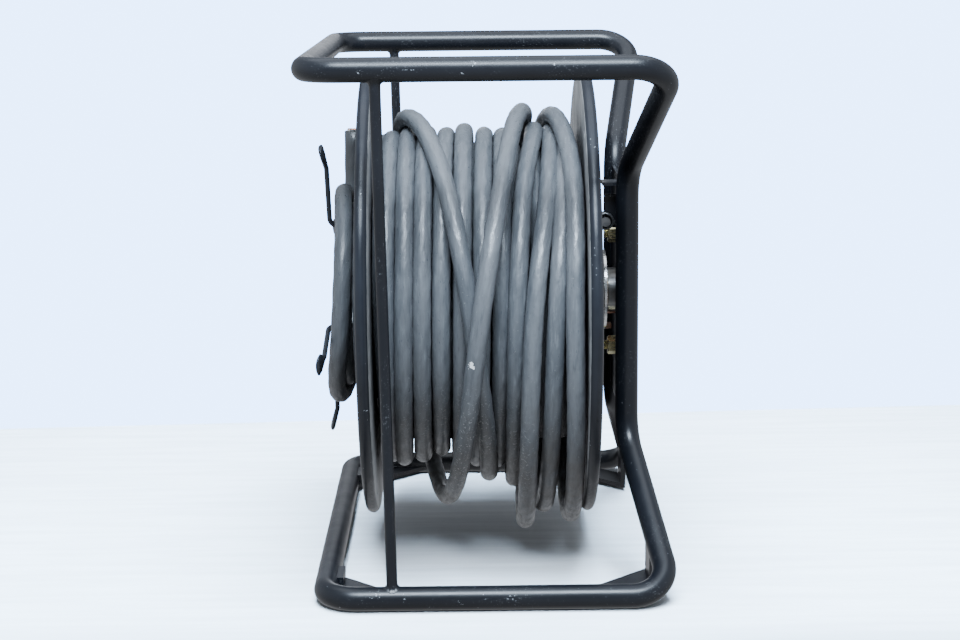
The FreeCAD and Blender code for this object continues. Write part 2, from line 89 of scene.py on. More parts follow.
def place_camera():
    """A long lens in front of the reel, a little above it and looking slightly down."""
    data = bpy.data.cameras.new("camera")
    data.sensor_width = 36
    data.lens = CAMERA_LENS_MM
    camera = bpy.data.objects.new("camera", data)
    bpy.context.scene.collection.objects.link(camera)
    level = math.cos(CAMERA_PITCH)
    ahead = Vector((math.sin(CAMERA_YAW) * level, math.cos(CAMERA_YAW) * level,
                    -math.sin(CAMERA_PITCH)))
    right = Vector((math.cos(CAMERA_YAW), -math.sin(CAMERA_YAW), 0))
    up = right.cross(ahead)
    across = right * math.cos(CAMERA_ROLL) + up * math.sin(CAMERA_ROLL)
    upward = up * math.cos(CAMERA_ROLL) - right * math.sin(CAMERA_ROLL)
    turn = Matrix((across, upward, -ahead)).transposed().to_4x4()
    camera.matrix_world = Matrix.Translation(CAMERA_PLACE) @ turn
    bpy.context.scene.camera = camera


place_camera()


# ---- mesh helpers -------------------------------------------------------------------------
def new_piece(name, vertices, faces, body, slot, smooth=True):
    """A mesh object that rides on a body and takes its finish from a slot."""
    mesh = bpy.data.meshes.new(name)
    mesh.from_pydata(vertices, [], faces)
    mesh.validate()
    mesh.polygons.foreach_set("use_smooth", [smooth] * len(mesh.polygons))
    piece = bpy.data.objects.new(name, mesh)
    bpy.context.scene.collection.objects.link(piece)
    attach(piece, body)
    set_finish(piece, slot)
    return piece


def skin(rings, sides, closed=False):
    """Faces between rings of points, with a cap on each end unless the last ring meets the first."""
    faces = []
    for i in range(rings if closed else rings - 1):
        step = ((i + 1) % rings - i) * sides
        for k in range(sides):
            a = i * sides + k
            b = i * sides + (k + 1) % sides
            faces.append((a, b, b + step, a + step))
    if not closed:
        faces.append(tuple(reversed(range(sides))))
        faces.append(tuple(range((rings - 1) * sides, rings * sides)))
    return faces


def circle(centre, side, other, radius, count=48):
    """Points round a circle."""
    return [centre + (side * math.cos(2 * math.pi * k / count)
                      + other * math.sin(2 * math.pi * k / count)) * radius for k in range(count)]


def beside(centre, x, radius, angle):
    """The point at a radius and an angle about a line along X."""
    return Vector((x, centre.y + radius * math.cos(angle), centre.z + radius * math.sin(angle)))


def frames_along(line):
    """At each point of a line, two directions across it that don't twist along the way."""
    frames = []
    side = None
    for i, point in enumerate(line):
        ahead = (line[min(i + 1, len(line) - 1)] - line[max(i - 1, 0)]).normalized()
        if side is None:
            side = ahead.orthogonal().normalized()
        side = (side - ahead * side.dot(ahead)).normalized()
        frames.append((side, ahead.cross(side)))
    return frames


def tube(line, sides, radius_at, closed=False):
    """Vertices and faces of a round tube, and each vertex's place on it as (cos, sin, along).

    radius_at(distance along, angle) is its radius.
    """
    vertices = []
    sleeve = []
    along = 0.0
    for i, (point, (side, other)) in enumerate(zip(line, frames_along(line))):
        if i:
            along += (point - line[i - 1]).length
        for k in range(sides):
            a = 2 * math.pi * k / sides
            r = radius_at(along, a)
            vertices.append(point + (side * math.cos(a) + other * math.sin(a)) * r)
            sleeve.append((math.cos(a), math.sin(a), along))
    return vertices, skin(len(line), sides, closed), sleeve


def lathe(points, centre, axis, sides=32):
    """A turned shape: points are (radius, distance along the axis); its ends are closed."""
    side = axis.orthogonal().normalized()
    other = axis.cross(side)
    vertices = []
    for radius, distance in points:
        vertices += circle(centre + axis * distance, side, other, radius, sides)
    return vertices, skin(len(points), sides)


def joined(parts):
    """Several (vertices, faces) shapes as one."""
    vertices = []
    faces = []
    for part_vertices, part_faces in parts:
        start = len(vertices)
        vertices += part_vertices
        faces += [tuple(start + v for v in face) for face in part_faces]
    return vertices, faces


# ---- the cable ----------------------------------------------------------------------------
# Routes and stations are (radius, degrees, x).
CORE_ROUTE = [(0.0800, -28, -0.10835), (0.0803, -46, -0.1025), (0.0820, -64, -0.0989),
              (0.0860, -83, -0.0984), (0.0915, -101, -0.0983), (0.0985, -118, -0.0985),
              (0.1065, -134, -0.0983), (0.1140, -149, -0.0985), (0.1205, -163, -0.0983),
              (0.1250, -177, -0.0985), (0.1270, -191, -0.0983)]
LEAD_ROUTE = [(0.0800, -28, -0.10835), (0.0820, -10, -0.1143), (0.0852, 8, -0.1178),
              (0.0868, 26, -0.1188), (0.0865, 43, -0.1190)]
TAIL_ROUTE = [(0.1020, 0, -0.1385), (0.1086, 21.6, -0.1372), (0.1265, 39.2, -0.1360),
              (0.1510, 51.2, -0.1354), (0.1795, 58.9, -0.1346)]
INNER_TURNS = 10
INNER_LEFT_X = -0.0983
INNER_RIGHT_X = 0.0850
FIRST_LAYER_R = 0.1270
SECOND_LAYER_R = 0.1435

# The top layer and the slack turns over it, one row each, in millimetres: (turned, x, radius),
# where turned is 0 at the bottom, 90 on the near side, 180 at the top and 270 on the far side.
TOP_TURNS = [
    [(0, -94, 164), (90, -94, 158), (180, -91, 154), (270, -88, 158)],
    [(0, -83, 168), (90, -77, 162), (180, -74, 157), (270, -72, 160)],
    [(0, -64, 165), (90, -60, 161), (180, -56, 159), (270, -51, 160)],
    [(0, -45, 158), (90, -42, 158), (180, -37, 157), (270, -32, 160)],
    [(0, -26, 167), (90, -22, 158), (180, -19, 161), (270, -14, 160)],
    [(0, -10, 170), (90, -4, 160), (180, 1, 157), (270, 6, 160)],
    [(0, 10, 171), (90, 15, 162), (180, 19, 156), (270, 24, 161)],
    [(0, 28, 190), (45, 27, 184), (90, 29, 172), (135, 37, 164), (180, 51, 161), (270, 45, 176)],
    [(0, 39, 234), (45, 39, 212), (90, 44, 184), (135, 60, 164), (180, 67, 158), (270, 62, 178)],
    [(0, 57, 217), (45, 60, 203), (90, 65, 182), (135, 75, 164), (180, 80, 157), (270, 79, 180)],
    [(0, 84, 227), (45, 84, 213), (90, 82, 190), (135, 84, 178), (180, 71, 176), (225, 57, 185),
     (270, 40, 199), (315, 20, 199)],
    [(0, 4, 186), (45, 1, 182), (90, -13, 180), (135, -37, 177), (165, -60, 176.5),
     (183, -75, 175.3), (203, -84, 173), (235, -85, 174), (270, -81, 178), (315, -70, 190)],
    [(0, -46, 207), (45, -25, 203), (90, -6, 198), (135, 18, 187.5), (165, 31, 183),
     (182, 38.5, 180.5), (200, 42.5, 179.5), (225, 37, 178), (270, 17, 178), (300, 7, 176),
     (315, 3, 175)],
]
# The angle at the bottom of the first of them: the slot's run and two layers come before it.
FIRST_TOP_BOTTOM = -90 - (2 * INNER_TURNS + 1) * 360

# The lead's turns outside the flange, in millimetres, as (degrees, x, radius) from the bench on.
LEAD_TURNS = [(43, -119, 86.5), (90, -119, 86), (180, -119, 85.3), (270, -119.5, 85.5),
              (320, -137, 86), (360, -138.5, 85.5), (450, -138, 85.3), (540, -138, 85.3),
              (630, -138.5, 86), (680, -137.5, 87.5), (740, -119.5, 102), (810, -119, 102.3),
              (900, -119, 102.3), (990, -120.5, 103), (1040, -122, 103), (1100, -138.5, 102.8),
              (1170, -140, 101.5), (1220, -136.3, 102), (1260, -139, 102.3), (1278, -141.5, 102.8),
              (1303, -146.3, 103.3), (1322, -147.8, 103.6), (1340, -146.6, 103.7),
              (1367, -142, 103.6), (1395, -141, 103.3), (1440, -138.5, 102)]


def eased(stations, step):
    """Stations (t, values...) joined smoothly and read again every step of t."""
    slopes = []
    for i in range(len(stations)):
        before = stations[max(i - 1, 0)]
        after = stations[min(i + 1, len(stations) - 1)]
        slopes.append([(b - a) / (after[0] - before[0]) for a, b in zip(before[1:], after[1:])])
    out = []
    for i, (a, b) in enumerate(zip(stations, stations[1:])):
        span = b[0] - a[0]
        count = max(1, round(span / step))
        for k in range(count):
            u = k / count
            row = [a[0] + span * u]
            for p, q, mp, mq in zip(a[1:], b[1:], slopes[i], slopes[i + 1]):
                row.append((2 * u ** 3 - 3 * u ** 2 + 1) * p + (3 * u ** 2 - 2 * u ** 3) * q
                           + (u ** 3 - 2 * u ** 2 + u) * mp * span + (u ** 3 - u ** 2) * mq * span)
            out.append(row)
    out.append(list(stations[-1]))
    return out


def inner_layer(start, x0, x1, radius0, radius1, per_turn=16):
    """One layer of even turns; its first half turn climbs from the layer below."""
    points = []
    for i in range(1, INNER_TURNS * per_turn + 1):
        turned = i / per_turn
        climb = min(1.0, turned / 0.5)
        radius = radius0 + (radius1 - radius0) * climb
        x = x0 + (x1 - x0) * max(0.0, turned - 0.25) / (INNER_TURNS - 0.25)
        points.append(around(radius, start - 360 * turned, x))
    return points


def winding_route():
    """From the slot, out through the core, two even layers, then the top layer and slack turns."""
    points = [around(*place) for place in CORE_ROUTE]
    start = CORE_ROUTE[-1][1]
    points += inner_layer(start, INNER_LEFT_X, INNER_RIGHT_X, FIRST_LAYER_R, FIRST_LAYER_R)
    start -= 360 * INNER_TURNS
    points += inner_layer(start, INNER_RIGHT_X, INNER_LEFT_X, FIRST_LAYER_R, SECOND_LAYER_R)
    start -= 360 * INNER_TURNS
    stations = [(start, INNER_LEFT_X / MM, SECOND_LAYER_R / MM)]
    for number, turn in enumerate(TOP_TURNS):
        bottom = FIRST_TOP_BOTTOM - 360 * number
        stations += [(bottom - turned, x, radius) for turned, x, radius in turn]
    forward = [(-degrees, x, radius) for degrees, x, radius in stations]
    top = eased(forward, 12)[1:]
    points += [around(radius * MM, -degrees, x * MM) for degrees, x, radius in top]
    return points


def lead_route():
    """From the slot, round the hooks four times, and up to the cut end."""
    points = [around(*place) for place in LEAD_ROUTE]
    turns = eased(LEAD_TURNS, 15)[1:-1]
    points += [around(radius * MM, degrees, x * MM) for degrees, x, radius in turns]
    points += [around(*place) for place in TAIL_ROUTE]
    return points


def spline_points(points, resolution):
    """The points of a smooth NURBS line that has the route's points as its control points."""
    curve = bpy.data.curves.new("route", "CURVE")
    curve.dimensions = "3D"
    spline = curve.splines.new("NURBS")
    spline.points.add(len(points) - 1)
    for point, place in zip(spline.points, points):
        point.co = (*place, 1)
    spline.order_u = 3
    spline.use_endpoint_u = True
    spline.resolution_u = resolution
    route = bpy.data.objects.new("route", curve)
    mesh = bpy.data.meshes.new_from_object(route)
    line = [v.co.copy() for v in mesh.vertices]
    bpy.data.meshes.remove(mesh)
    bpy.data.objects.remove(route)
    bpy.data.curves.remove(curve)
    return line


LAY_LENGTH = 115 * MM
LAY_HEIGHT = 0.20 * MM
CORES = 4
CORE_R = 2.55 * MM
CORE_CIRCLE_R = 3.75 * MM
FIRST_CORE_DEGREES = 35
FILLER_R = 7.3 * MM
STRANDS = 19
STRAND_R = 0.42 * MM
STRAND_PITCH = 0.86 * MM
CUT_DEPTH = -1.0 * MM


def sheath_radius(along, angle):
    """The sheath shows the lay of the cores inside as faint ridges."""
    turned = angle - 2 * math.pi * along / LAY_LENGTH
    return CABLE_R - LAY_HEIGHT + LAY_HEIGHT * math.cos(CORES * turned)


def cable_piece(name, route, resolution):
    """A cable along a route, its ends cut square; returns it, its line and its length."""
    line = spline_points(route, resolution)
    vertices, faces, sleeve = tube(line, 24, sheath_radius)
    piece = new_piece(name, vertices, faces, "drum", "cable_sheath")
    attribute = piece.data.attributes.new("sleeve", "FLOAT_VECTOR", "POINT")
    attribute.data.foreach_set("vector", [value for row in sleeve for value in row])
    length = sum((b - a).length for a, b in zip(line, line[1:]))
    return piece, line, length


winding, winding_line, winding_length = cable_piece("winding", winding_route(), 5)
lead, lead_line, lead_length = cable_piece("lead", lead_route(), 5)


def cut_end(name, line):
    """The cut face at a cable's end: filler, four insulated cores and their copper strands."""
    tip = line[-1]
    out = (line[-1] - line[-3]).normalized()
    side = out.orthogonal().normalized()
    other = out.cross(side)
    filler = lathe([(FILLER_R, CUT_DEPTH), (FILLER_R, 0.25 * MM),
                    (FILLER_R - 0.4 * MM, 0.4 * MM)], tip, out)
    insulation = []
    strands = []
    for k in range(CORES):
        a = math.radians(FIRST_CORE_DEGREES + 360 / CORES * k)
        centre = tip + (side * math.cos(a) + other * math.sin(a)) * CORE_CIRCLE_R
        stands = (1.5 + 0.5 * (k % 3)) * MM
        insulation.append(lathe([(CORE_R, CUT_DEPTH), (CORE_R, stands - 0.3 * MM),
                                 (CORE_R - 0.3 * MM, stands)], centre, out, 20))
        for n in range(STRANDS):
            ring = 0 if n == 0 else (1 if n < 7 else 2)
            turn = 0 if ring == 0 else 2 * math.pi * (n - (1 if ring == 1 else 7)) / (6 * ring)
            place = centre + (side * math.cos(turn) + other * math.sin(turn)) * ring * STRAND_PITCH
            top = stands + (0.5 + 0.25 * ((n * 7 + k) % 3)) * MM
            strands.append(lathe([(STRAND_R, 0.0), (STRAND_R, top - 0.1 * MM),
                                  (STRAND_R * 0.7, top)], place, out, 8))
    pieces = [new_piece(name + "_filler", *filler, "drum", "pad_rubber"),
              new_piece(name + "_cores", *joined(insulation), "drum", "cable_sheath"),
              new_piece(name + "_strands", *joined(strands), "drum", "copper")]
    return pieces


lead_end = cut_end("lead_end", lead_line)
winding_end = cut_end("winding_end", winding_line)
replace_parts(winding, "wound_cable", "cable_inner_run")
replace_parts(lead, "lead_entry", "lead_coil", "lead_tail")
print("winding", round(winding_length, 2), "lead", round(lead_length, 3))


# ---- hooks, welds, threads and the spring -------------------------------------------------
HOOK_FOOT_R = 73.3 * MM
HOOK_ARM_X = -153.2 * MM
HOOK_NECK = (135.4 * MM, -154.0 * MM)
HOOK_TIP_R = 158.8 * MM
HOOK_TIP_XS = (-160.5 * MM, -159.2 * MM, -158.8 * MM, -160.0 * MM)
FIRST_HOOK_DEGREES = 17
HOOK_BEND = 9 * MM
HOOK_ROD_R = 2.5 * MM
PADDLE_HALF = 10 * MM
PADDLE_THIN = 2.6 * MM


def bead(line, radius, ripple=2.6 * MM, closed=False):
    """A weld bead along a line, with the small scales that a welder leaves."""
    def scaled(along, angle):
        return radius * (1 + 0.13 * math.sin(2 * math.pi * along / ripple + 0.6 * math.sin(angle)))
    vertices, faces, _ = tube(line, 10, scaled, closed)
    return vertices, faces


def hook_shape(degrees, tip_x):
    """A bent rod with a flattened, rounded tip, as a run of rounded sections."""
    outline = []
    for i in range(4):
        outline.append((HOOK_FOOT_R,
                        LEFT_OUTER_X + (HOOK_ARM_X + HOOK_BEND - LEFT_OUTER_X) * i / 3))
    for i in range(1, 9):
        a = math.pi / 2 * i / 8
        outline.append((HOOK_FOOT_R + HOOK_BEND * (1 - math.cos(a)),
                        HOOK_ARM_X + HOOK_BEND * (1 - math.sin(a))))
    for i in range(1, 5):
        reach = (HOOK_NECK[0] - HOOK_FOOT_R - HOOK_BEND) * i / 5
        outline.append((HOOK_FOOT_R + HOOK_BEND + reach,
                        HOOK_ARM_X + (HOOK_NECK[1] - HOOK_ARM_X) * i / 5))
    straight = len(outline)
    for i in range(17):
        share = 1 - (1 - i / 16) ** 1.6
        outline.append((HOOK_NECK[0] + (HOOK_TIP_R - HOOK_NECK[0]) * share,
                        HOOK_NECK[1] + (tip_x - HOOK_NECK[1]) * share))
    line = [around(radius, degrees, x) for radius, x in outline]
    tangent = Vector((0, -math.sin(math.radians(degrees)), math.cos(math.radians(degrees))))
    sides = 20
    vertices = []
    for i, point in enumerate(line):
        ahead = (line[min(i + 1, len(line) - 1)] - line[max(i - 1, 0)]).normalized()
        normal = ahead.cross(tangent)
        flat = max(0.0, (i - straight) / (len(line) - 1 - straight))
        swell = min(1.0, flat / 0.45)
        swell = swell * swell * (3 - 2 * swell)
        close = math.sqrt(max(0.0, 1 - max(0.0, (flat - 0.62) / 0.38) ** 2))
        wide = (HOOK_ROD_R + (PADDLE_HALF - HOOK_ROD_R) * swell) * max(close, 0.03)
        thin = (HOOK_ROD_R + (PADDLE_THIN - HOOK_ROD_R) * swell) * max(math.sqrt(close), 0.06)
        for k in range(sides):
            a = 2 * math.pi * k / sides
            vertices.append(point + tangent * math.cos(a) * wide + normal * math.sin(a) * thin)
    return vertices, skin(len(line), sides)


def make_hooks():
    """The four hooks, each with its own bend at the tip, and a weld round each foot."""
    for number, tip_x in enumerate(HOOK_TIP_XS):
        degrees = FIRST_HOOK_DEGREES + 90 * number
        piece = new_piece(f"hook_{number + 1}", *hook_shape(degrees, tip_x), "drum", "hook_steel")
        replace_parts(piece, f"cable_hook_{number + 1}")
        foot = around(HOOK_FOOT_R, degrees, LEFT_OUTER_X - 0.6 * MM)
        ring = circle(foot, Vector((0, 1, 0)), Vector((0, 0, 1)), HOOK_ROD_R + 0.7 * MM, 32)
        new_piece(f"hook_weld_{number + 1}", *bead(ring, 1.5 * MM, closed=True),
                  "drum", "hook_steel")


def strut_weld(x, y, tube_z, out):
    """A hollow fillet round a strut where it meets a long tube; out is the side that it meets."""
    fillet = 3.2 * MM
    sunk = -1.2 * MM
    profile = [(STRUT_R - 1 * MM, sunk), (STRUT_R - 1 * MM, fillet)]
    for i in range(7):
        t = math.pi / 2 * i / 6
        profile.append((STRUT_R - 0.1 * MM + fillet * (1 - math.cos(t)),
                        fillet * (1 - math.sin(t))))
    profile.append((STRUT_R + fillet, sunk))
    count = 64
    vertices = []
    for k in range(count):
        a = 2 * math.pi * k / count
        ripple = 0.35 * MM * math.sin(13 * a) * (0.6 + 0.4 * math.sin(3 * a))
        for radius, height in profile:
            outer = radius + (ripple if radius > STRUT_R else 0)
            across = outer * math.sin(a)
            tube_top = math.sqrt(TUBE_R ** 2 - across ** 2)
            vertices.append(Vector((x + outer * math.cos(a), y + across,
                                    tube_z + out * (tube_top + height))))
    return vertices, skin(count, len(profile), closed=True)


def straight(a, b, step=1.0 * MM):
    """Points along a straight line, close enough for a bead's scales."""
    a = Vector(a)
    b = Vector(b)
    count = max(2, round((b - a).length / step))
    return [a.lerp(b, i / count) for i in range(count + 1)]


BRACE_WELD_Z = 8.3 * MM
BRACE_WELD_IN = 10.6 * MM
BRACE_WELDS = ((-0.112, -0.066), (0.064, 0.101))
CROSS_WELD = ((-0.1405, 0.204, 0.0085), (-0.1405, 0.158, 0.0085))
PLATE_WELD_XS = (0.1332, 0.1378)
PLATE_WELD_Y = 76.9 * MM
PLATE_WELD_HALF = 0.112


def make_welds():
    """Beads at the struts, the corner braces and the plate between the uprights."""
    beads = []
    for side in (-1, 1):
        beads.append(strut_weld(STRUT_TOP_X, side * LOOP_Y, TOP_Z, -1))
        beads.append(strut_weld(STRUT_BASE_X, side * LOOP_Y, BASE_Z, 1))
        inner_y = side * (LOOP_Y - BRACE_WELD_IN)
        for x0, x1 in BRACE_WELDS:
            beads.append(bead(straight((x0, inner_y, BRACE_WELD_Z), (x1, inner_y, BRACE_WELD_Z)),
                              1.5 * MM))
        beads.append(bead(straight(*((x, side * y, z) for x, y, z in CROSS_WELD)), 1.5 * MM))
        y = side * PLATE_WELD_Y
        for x in PLATE_WELD_XS:
            beads.append(bead(straight((x, y, AXLE_Z - PLATE_WELD_HALF),
                                       (x, y, AXLE_Z + PLATE_WELD_HALF)), 1.7 * MM))
    new_piece("frame_welds", *joined(beads), "frame", "frame_black")


def threaded(x0, x1, radius, depth, pitch, centre, sides=24):
    """A thread along X between x0 and x1, with its first turn chamfered at both ends."""
    per_pitch = 6
    count = max(2, round((x1 - x0) / pitch * per_pitch))
    vertices = []
    for i in range(count + 1):
        x = x0 + (x1 - x0) * i / count
        from_end = min(x - x0, x1 - x)
        chamfer = max(0.0, 0.8 * MM - from_end)
        for k in range(sides):
            turn = ((x / pitch) - k / sides) % 1.0
            flank = abs(2 * turn - 1)
            r = min(radius - depth * (1 - flank), radius - chamfer)
            vertices.append(beside(centre, x, r, 2 * math.pi * k / sides))
    return vertices, skin(count + 1, sides)


def hexagon_head(flats, x0, x1, centre):
    """A forged bolt head: a hexagon whose outer corners are turned off."""
    corner = flats / math.sqrt(3)
    thick = x1 - x0
    sides = 48
    vertices = []
    rings = [(0.0, 1.0), (0.72, 1.0), (0.88, 0.965), (1.0, 0.90)]
    for share, limit in rings:
        for k in range(sides):
            a = 2 * math.pi * k / sides
            hexagonal = flats / 2 / math.cos((a % (math.pi / 3)) - math.pi / 6)
            vertices.append(beside(centre, x0 + thick * share, min(hexagonal, corner * limit), a))
    return vertices, skin(len(rings), sides)


AXLE_BOLT_OFFSET = 57.4 * MM
AXLE_BOLT_XS = (0.1208, 0.1340, 0.1432, 0.1496)
TIE_ROD_CIRCLE_R = 42 * MM
TIE_ROD_XS = (-0.1181, -0.0980, 0.0850, 0.1048)
PIVOT = Vector((0.118, 0, 0.3315))
SPRING_COIL_R = 7.6 * MM
SPRING_WIRE_R = 1.1 * MM
SPRING_TURNS = 3.15
SPRING_FIRST_Y = -62.6 * MM
SPRING_LENGTH = 4.6 * MM
SPRING_LEG_END = Vector((0.1329, -0.058, 0.3195))


def make_bolts():
    """The axle's two bolts and the drum's four tie rods, with real threads where they show."""
    bolts = []
    tip, shank, head, top = AXLE_BOLT_XS
    for z in (AXLE_Z - AXLE_BOLT_OFFSET, AXLE_Z + AXLE_BOLT_OFFSET):
        centre = Vector((0, 0, z))
        bolts.append(threaded(tip, shank, 4.98 * MM, 0.8 * MM, 1.5 * MM, centre))
        bolts.append(threaded(shank, head, 4.95 * MM, 0.0, 1.5 * MM, centre))
        bolts.append(hexagon_head(17 * MM, head, top, centre))
    bolts = new_piece("bolts", *joined(bolts), "frame", "yellow_zinc", smooth=False)
    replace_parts(bolts, "axle_bolts")
    rods = []
    left, left_plain, right_plain, right = TIE_ROD_XS
    for degrees in (45, 135, 225, 315):
        centre = around(TIE_ROD_CIRCLE_R, degrees, 0)
        rods.append(threaded(left, left_plain, 3.98 * MM, 0.65 * MM, 1.25 * MM, centre))
        rods.append(threaded(left_plain, right_plain, 3.6 * MM, 0.0, 30 * MM, centre))
        rods.append(threaded(right_plain, right, 3.98 * MM, 0.65 * MM, 1.25 * MM, centre))
    rods = new_piece("rods", *joined(rods), "drum", "bright_zinc", smooth=False)
    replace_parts(rods, "tie_rods")


def make_spring():
    """The brake's torsion spring: a close helix on the pivot, with one leg on the plate."""
    line = []
    steps = 96
    for i in range(steps + 1):
        a = math.radians(90) - 2 * math.pi * SPRING_TURNS * i / steps
        line.append(Vector((PIVOT.x + SPRING_COIL_R * math.cos(a),
                            SPRING_FIRST_Y + SPRING_LENGTH * i / steps,
                            PIVOT.z + SPRING_COIL_R * math.sin(a))))
    start = line[-1]
    line += [start.lerp(SPRING_LEG_END, i / 4) for i in range(1, 5)]
    vertices, faces, _ = tube(line, 10, lambda along, angle: SPRING_WIRE_R)
    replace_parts(new_piece("spring", vertices, faces, "frame", "spring_steel"), "brake_spring")


make_hooks()
make_welds()
make_bolts()
make_spring()


# ---- finishes -----------------------------------------------------------------------------
class Finish:
    """A node-based material, built up a step at a time."""

    def __init__(self, name, metallic=0.0, roughness=0.5, specular=0.5):
        self.material = bpy.data.materials.new(name)
        self.material.use_nodes = True
        self.tree = self.material.node_tree
        self.shader = self.tree.nodes["Principled BSDF"]
        self.shader.inputs["Metallic"].default_value = metallic
        self.shader.inputs["Roughness"].default_value = roughness
        self.shader.inputs["Specular IOR Level"].default_value = specular
        self.place = self.add("ShaderNodeTexCoord").outputs["Object"]

    def add(self, kind, **settings):
        node = self.tree.nodes.new(kind)
        for key, value in settings.items():
            setattr(node, key, value)
        return node

    def link(self, source, target):
        """Feeds a socket from another socket, or sets it to a value."""
        if isinstance(source, bpy.types.NodeSocket):
            self.tree.links.new(source, target)
        else:
            target.default_value = source

    def stretched(self, place, scale):
        node = self.add("ShaderNodeMapping")
        self.link(place, node.inputs["Vector"])
        node.inputs["Scale"].default_value = scale
        return node.outputs["Vector"]

    def shifted(self, offset):
        node = self.add("ShaderNodeVectorMath", operation="ADD")
        self.link(self.place, node.inputs[0])
        node.inputs[1].default_value = offset
        return node.outputs["Vector"]

    def noise(self, scale, detail=3.0, rough=0.55, place=None):
        node = self.add("ShaderNodeTexNoise")
        self.link(place or self.place, node.inputs["Vector"])
        node.inputs["Scale"].default_value = scale
        node.inputs["Detail"].default_value = detail
        node.inputs["Roughness"].default_value = rough
        return node.outputs["Fac"]

    def rescale(self, value, low, high, to_low=0.0, to_high=1.0):
        """A value between low and high, moved smoothly to between two others."""
        node = self.add("ShaderNodeMapRange", interpolation_type="SMOOTHSTEP")
        self.link(value, node.inputs["Value"])
        for key, number in (("From Min", low), ("From Max", high),
                            ("To Min", to_low), ("To Max", to_high)):
            node.inputs[key].default_value = number
        return node.outputs["Result"]

    def maths(self, operation, a, b):
        node = self.add("ShaderNodeMath", operation=operation)
        self.link(a, node.inputs[0])
        self.link(b, node.inputs[1])
        return node.outputs[0]

    def times(self, a, b):
        return self.maths("MULTIPLY", a, b)

    def plus(self, a, b):
        return self.maths("ADD", a, b)

    def larger(self, a, b):
        return self.maths("MAXIMUM", a, b)

    def mixed(self, share, a, b):
        """A colour between a and b."""
        node = self.add("ShaderNodeMix", data_type="RGBA")
        self.link(share, node.inputs["Factor"])
        for socket, colour in ((node.inputs["A"], a), (node.inputs["B"], b)):
            self.link((*colour, 1) if isinstance(colour, tuple) else colour, socket)
        return node.outputs["Result"]

    def near(self, point, inner, outer, stretch=1):
        """One near a point, falling to nothing at the outer distance.

        Stretch is how many times longer than that it reaches along X.
        """
        node = self.add("ShaderNodeVectorMath", operation="DISTANCE")
        self.link(self.stretched(self.place, (1 / stretch, 1, 1)), node.inputs[0])
        node.inputs[1].default_value = (point[0] / stretch, point[1], point[2])
        return self.rescale(node.outputs["Value"], inner, outer, 1.0, 0.0)

    def axis(self, name):
        """One coordinate of the object's place."""
        node = self.add("ShaderNodeSeparateXYZ")
        self.link(self.place, node.inputs[0])
        return node.outputs[name]

    def bump(self, height, distance, strength=1.0):
        node = self.add("ShaderNodeBump")
        node.inputs["Strength"].default_value = strength
        node.inputs["Distance"].default_value = distance
        self.link(height, node.inputs["Height"])
        self.link(node.outputs["Normal"], self.shader.inputs["Normal"])

    def paint(self, colour=None, roughness=None):
        if colour is not None:
            self.link(colour, self.shader.inputs["Base Color"])
        if roughness is not None:
            self.link(roughness, self.shader.inputs["Roughness"])
        return self.material


BARE_SCUFF = (0.38, 0.41, 0.44)


def painted(name, dark, light, scuffs=()):
    """Satin paint: faint mottling, fine dust, chips in clusters, and scuffs at given places."""
    f = Finish(name, specular=0.38)
    colour = f.mixed(f.rescale(f.noise(9, 4, 0.6), 0.35, 0.7), dark, light)
    dust = f.times(f.rescale(f.noise(620, 2, 0.5), 0.60, 0.74),
                   f.rescale(f.noise(16, 3, 0.6), 0.46, 0.68))
    colour = f.mixed(f.times(dust, 0.30), colour, (0.30, 0.31, 0.32))
    chips = f.times(f.rescale(f.noise(330, 2, 0.5), 0.735, 0.755),
                    f.rescale(f.noise(22, 2, 0.5), 0.60, 0.68))
    grit = f.noise(420, 3, 0.6)
    for place, size, stretch, weight in scuffs:
        worn = f.plus(grit, f.times(f.near(place, 0, size, stretch), weight))
        strongest = 0.75 if stretch == 1 else 0.35
        chips = f.larger(chips, f.rescale(worn, 0.71, 0.78, 0.0, strongest))
    colour = f.mixed(chips, colour, BARE_SCUFF)
    rough = f.rescale(f.noise(40, 4, 0.6), 0.3, 0.7, 0.30, 0.36)
    rough = f.plus(rough, f.times(dust, 0.2))
    f.bump(f.plus(f.times(f.noise(260, 2, 0.5), 0.5), f.times(chips, -0.8)), 0.12 * MM, 0.6)
    return f.paint(colour, rough)


# Where each flange's inner face lies along X, from just outside it to just inside.
LEFT_INNER_FACE = (-0.1082, -0.1078)
RIGHT_INNER_FACE = (0.0947, 0.0951)


def flange_finish():
    """Painted sheet whose inner faces are rubbed to pale grey by the cable, most of all at the rim."""
    f = Finish("flange_paint", specular=0.38)
    x = f.axis("X")
    inner = f.times(f.rescale(x, *LEFT_INNER_FACE), f.rescale(x, *RIGHT_INNER_FACE, 1.0, 0.0))
    streaks = f.noise(60, 4, 0.65)
    away = f.add("ShaderNodeVectorMath", operation="LENGTH")
    f.link(f.stretched(f.shifted((0, 0, -AXLE_Z)), (0, 1, 1)), away.inputs[0])
    rim = f.rescale(away.outputs["Value"], 0.165, 0.205, 0.25, 1.0)
    worn = f.times(f.times(inner, rim), f.rescale(streaks, 0.20, 0.5))
    colour = f.mixed(f.rescale(f.noise(9, 4, 0.6), 0.35, 0.7),
                     (0.0075, 0.0095, 0.014), (0.013, 0.016, 0.022))
    bare = f.mixed(f.rescale(f.noise(26, 5, 0.7), 0.30, 0.68),
                   (0.18, 0.18, 0.179), (0.33, 0.332, 0.331))
    colour = f.mixed(worn, colour, bare)
    chips = f.times(f.rescale(f.noise(360, 2, 0.5), 0.70, 0.72),
                    f.rescale(f.noise(24, 2, 0.5), 0.57, 0.64))
    colour = f.mixed(chips, colour, BARE_SCUFF)
    rough = f.rescale(f.noise(40, 4, 0.6), 0.3, 0.7, 0.30, 0.44)
    f.bump(f.noise(240, 2, 0.5), 0.1 * MM, 0.5)
    return f.paint(colour, f.plus(rough, f.times(worn, 0.12)))


